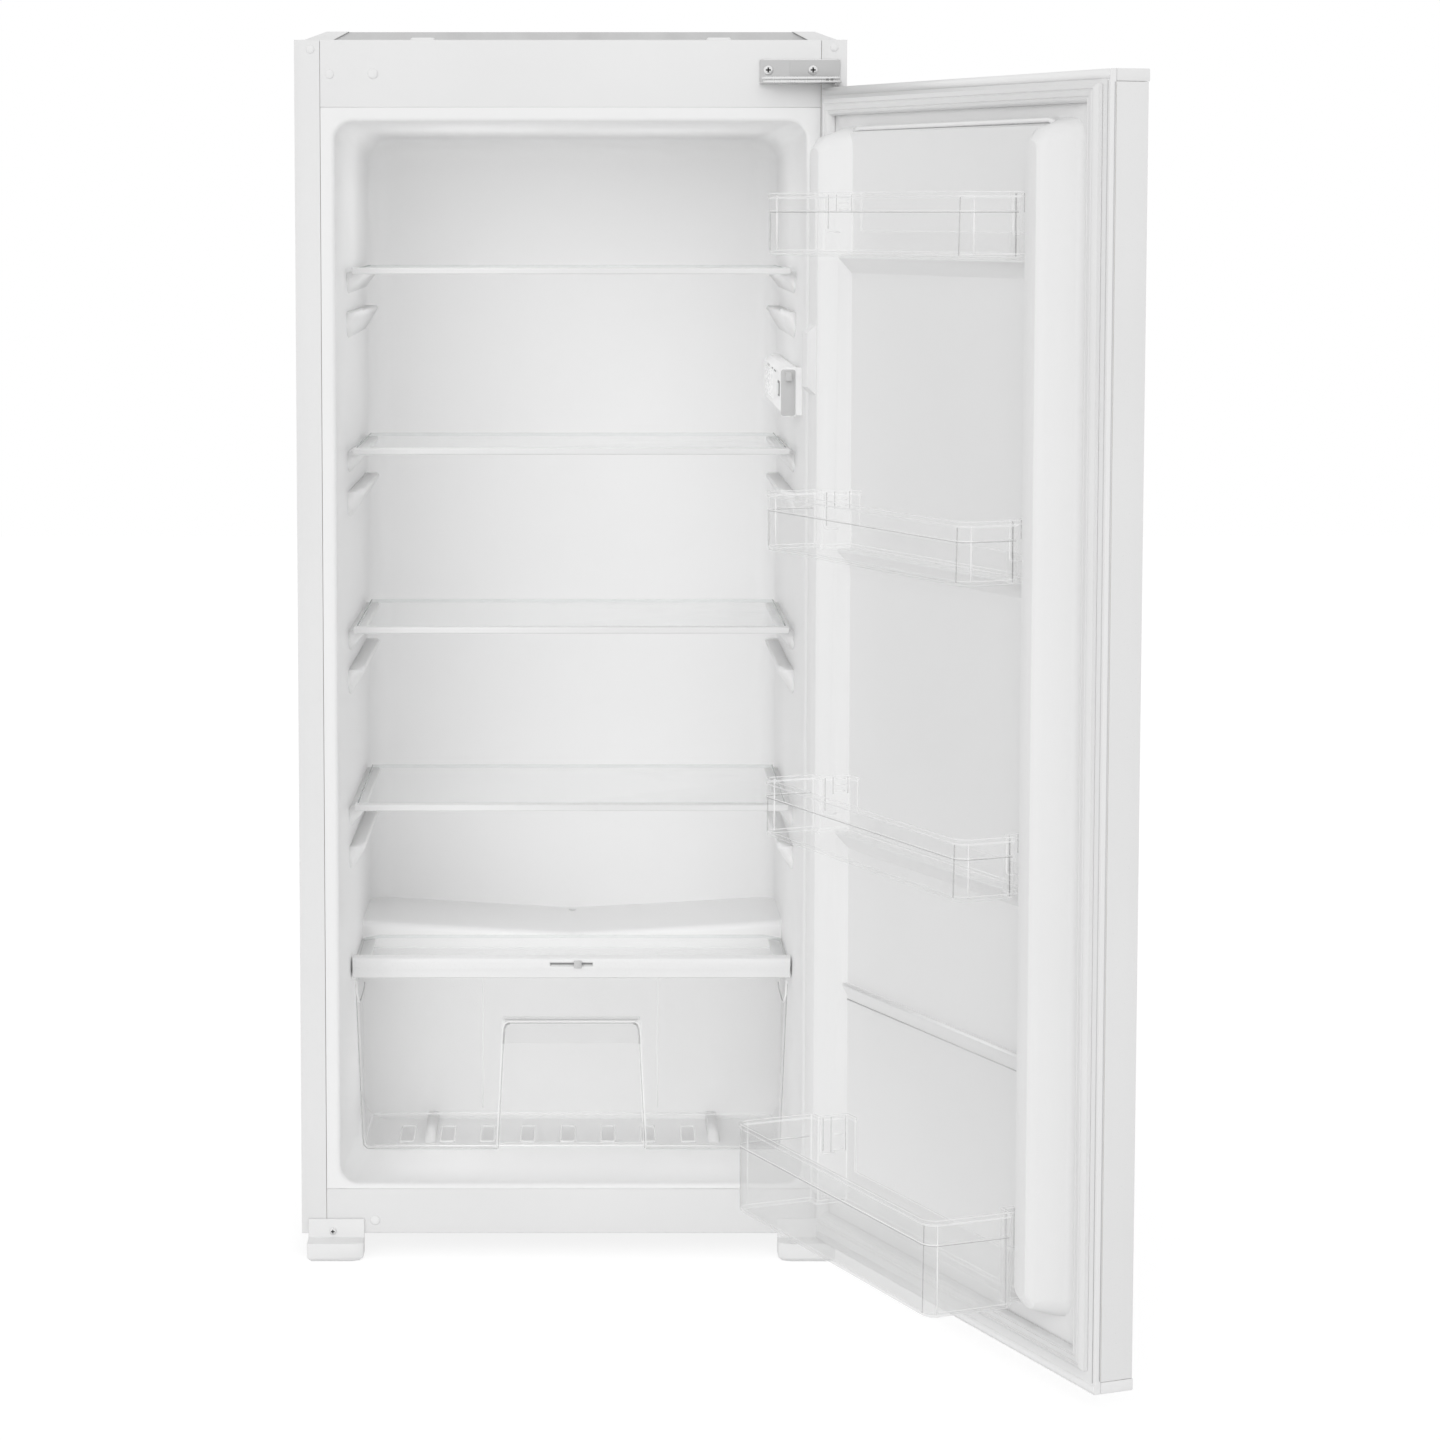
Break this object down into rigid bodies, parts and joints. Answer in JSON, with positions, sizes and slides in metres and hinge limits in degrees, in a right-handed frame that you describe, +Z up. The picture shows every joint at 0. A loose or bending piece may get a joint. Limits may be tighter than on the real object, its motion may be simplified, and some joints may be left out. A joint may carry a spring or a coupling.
{
  "type": "built-in refrigerator",
  "caption": "Tall built-in larder refrigerator with a right-hinged door, glass shelves, a clear crisper drawer under a glass cover, and clear racks in the door.",
  "frame": {"origin": "centre of the underside of the cabinet's base panel, with the feet reaching below it", "axes": "+Z up, -Y out of the cabinet's front, +X towards the side with the door's hinge"},
  "size_m": [0.7619, 1.0489, 1.2199],
  "materials": {
    "side_panel_left": "satin",
    "side_panel_right": "satin",
    "top_rail": "matte",
    "bottom_rail": "matte",
    "top_panel": "matte",
    "base_panel": "matte",
    "back_panel": "satin",
    "compartment_wall": "satin",
    "inner_liner": "satin",
    "cabinet_foam": "matte",
    "evaporator_plate": "satin",
    "drain_tube": "matte",
    "hinge_bracket_top": "satin",
    "hinge_bracket_bottom": "satin",
    "foot_bracket_left": "matte",
    "rear_foot_left": "matte",
    "rear_foot_right": "matte",
    "thermostat_housing": "matte",
    "lamp_cover": "gloss",
    "lamp": "gloss",
    "compressor_tray": "satin",
    "compressor": "satin",
    "compressor_mount_1": "matte",
    "compressor_mount_2": "matte",
    "compressor_mount_3": "matte",
    "compressor_mount_4": "matte",
    "start_relay": "matte",
    "drain_pan": "matte",
    "condenser_tube": "satin",
    "condenser_wires": "satin",
    "condenser_bracket_left": "matte",
    "condenser_bracket_right": "matte",
    "filter_drier": "satin",
    "discharge_pipe": "satin",
    "suction_pipe": "satin",
    "capillary_tube": "satin",
    "door_skin": "satin",
    "door_foam": "matte",
    "door_cap_top": "matte",
    "door_cap_bottom": "matte",
    "door_liner": "satin",
    "door_gasket": "matte",
    "shelf_1_glass": "gloss",
    "shelf_1_trim": "satin",
    "shelf_2_glass": "gloss",
    "shelf_2_trim": "satin",
    "shelf_3_glass": "gloss",
    "shelf_3_trim": "satin",
    "shelf_4_glass": "gloss",
    "shelf_4_trim": "satin",
    "crisper_cover_glass": "gloss",
    "crisper_cover_trim": "satin",
    "humidity_slider": "satin",
    "crisper_drawer": "gloss",
    "door_rack_1": "gloss",
    "door_rack_2": "gloss",
    "door_rack_3": "gloss",
    "door_rack_4": "gloss",
    "thermostat_dial": "satin",
    "switch_plunger": "satin"
  },
  "bodies": {
    "cabinet": {"side_panel_left": "side_panel_left", "side_panel_right": "side_panel_right", "top_rail": "top_rail", "bottom_rail": "bottom_rail", "top_panel": "top_panel", "base_panel": "base_panel", "back_panel": "back_panel", "compartment_wall": "compartment_wall", "inner_liner": "inner_liner", "cabinet_foam": "cabinet_foam", "evaporator_plate": "evaporator_plate", "drain_tube": "drain_tube", "hinge_bracket_top": "hinge_bracket_top", "hinge_bracket_bottom": "hinge_bracket_bottom", "foot_bracket_left": "foot_bracket_left", "rear_foot_left": "rear_foot_left", "rear_foot_right": "rear_foot_right", "thermostat_housing": "thermostat_housing", "lamp_cover": "lamp_cover", "lamp": "lamp", "compressor_tray": "compressor_tray", "compressor": "compressor", "compressor_mount_1": "compressor_mount_1", "compressor_mount_2": "compressor_mount_2", "compressor_mount_3": "compressor_mount_3", "compressor_mount_4": "compressor_mount_4", "start_relay": "start_relay", "drain_pan": "drain_pan", "condenser_tube": "condenser_tube", "condenser_wires": "condenser_wires", "condenser_bracket_left": "condenser_bracket_left", "condenser_bracket_right": "condenser_bracket_right", "filter_drier": "filter_drier", "discharge_pipe": "discharge_pipe", "suction_pipe": "suction_pipe", "capillary_tube": "capillary_tube"},
    "door": {"door_skin": "door_skin", "door_foam": "door_foam", "door_cap_top": "door_cap_top", "door_cap_bottom": "door_cap_bottom", "door_liner": "door_liner", "door_gasket": "door_gasket"},
    "shelf_1": {"shelf_1_glass": "shelf_1_glass", "shelf_1_trim": "shelf_1_trim"},
    "shelf_2": {"shelf_2_glass": "shelf_2_glass", "shelf_2_trim": "shelf_2_trim"},
    "shelf_3": {"shelf_3_glass": "shelf_3_glass", "shelf_3_trim": "shelf_3_trim"},
    "shelf_4": {"shelf_4_glass": "shelf_4_glass", "shelf_4_trim": "shelf_4_trim"},
    "crisper_cover": {"crisper_cover_glass": "crisper_cover_glass", "crisper_cover_trim": "crisper_cover_trim"},
    "humidity_slider": {"humidity_slider": "humidity_slider"},
    "crisper_drawer": {"crisper_drawer": "crisper_drawer"},
    "rack_1": {"door_rack_1": "door_rack_1"},
    "rack_2": {"door_rack_2": "door_rack_2"},
    "rack_3": {"door_rack_3": "door_rack_3"},
    "rack_4": {"door_rack_4": "door_rack_4"},
    "thermostat_dial": {"thermostat_dial": "thermostat_dial"},
    "switch_plunger": {"switch_plunger": "switch_plunger"}
  },
  "joints": [
    {"name": "door_hinge", "type": "hinge", "parent": "cabinet", "child": "door", "pos_m": [0.259, -0.288, 0.57], "axis": [0, 0, 1], "range_deg": [-113, 3]},
    {"name": "shelf_slide_1", "type": "slide", "parent": "cabinet", "child": "shelf_1", "axis": [0, -1, 0], "range_m": [0, 0.28]},
    {"name": "shelf_slide_2", "type": "slide", "parent": "cabinet", "child": "shelf_2", "axis": [0, -1, 0], "range_m": [0, 0.28]},
    {"name": "shelf_slide_3", "type": "slide", "parent": "cabinet", "child": "shelf_3", "axis": [0, -1, 0], "range_m": [0, 0.28]},
    {"name": "shelf_slide_4", "type": "slide", "parent": "cabinet", "child": "shelf_4", "axis": [0, -1, 0], "range_m": [0, 0.28]},
    {"name": "cover_slide", "type": "slide", "parent": "cabinet", "child": "crisper_cover", "axis": [0, -1, 0], "range_m": [0, 0.2]},
    {"name": "humidity_slide", "type": "slide", "parent": "crisper_cover", "child": "humidity_slider", "axis": [1, 0, 0], "range_m": [-0.022, 0.012]},
    {"name": "drawer_slide", "type": "slide", "parent": "cabinet", "child": "crisper_drawer", "axis": [0, -1, 0], "range_m": [0, 0.2]},
    {"name": "rack_lift_1", "type": "slide", "parent": "door", "child": "rack_1", "axis": [0, 0, 1], "range_m": [0, 0.015]},
    {"name": "rack_lift_2", "type": "slide", "parent": "door", "child": "rack_2", "axis": [0, 0, 1], "range_m": [0, 0.015]},
    {"name": "rack_lift_3", "type": "slide", "parent": "door", "child": "rack_3", "axis": [0, 0, 1], "range_m": [0, 0.015]},
    {"name": "rack_lift_4", "type": "slide", "parent": "door", "child": "rack_4", "axis": [0, 0, 1], "range_m": [0, 0.015]},
    {"name": "dial_turn", "type": "hinge", "parent": "cabinet", "child": "thermostat_dial", "pos_m": [0.215, -0.1945, 0.8445], "axis": [0, 0, 1], "range_deg": [0, 270]},
    {"name": "switch_press", "type": "slide", "parent": "cabinet", "child": "switch_plunger", "axis": [0, 1, 0], "range_m": [0, 0.005], "stiffness_N_per_m": 100, "springref_m": -0.003}
  ]
}
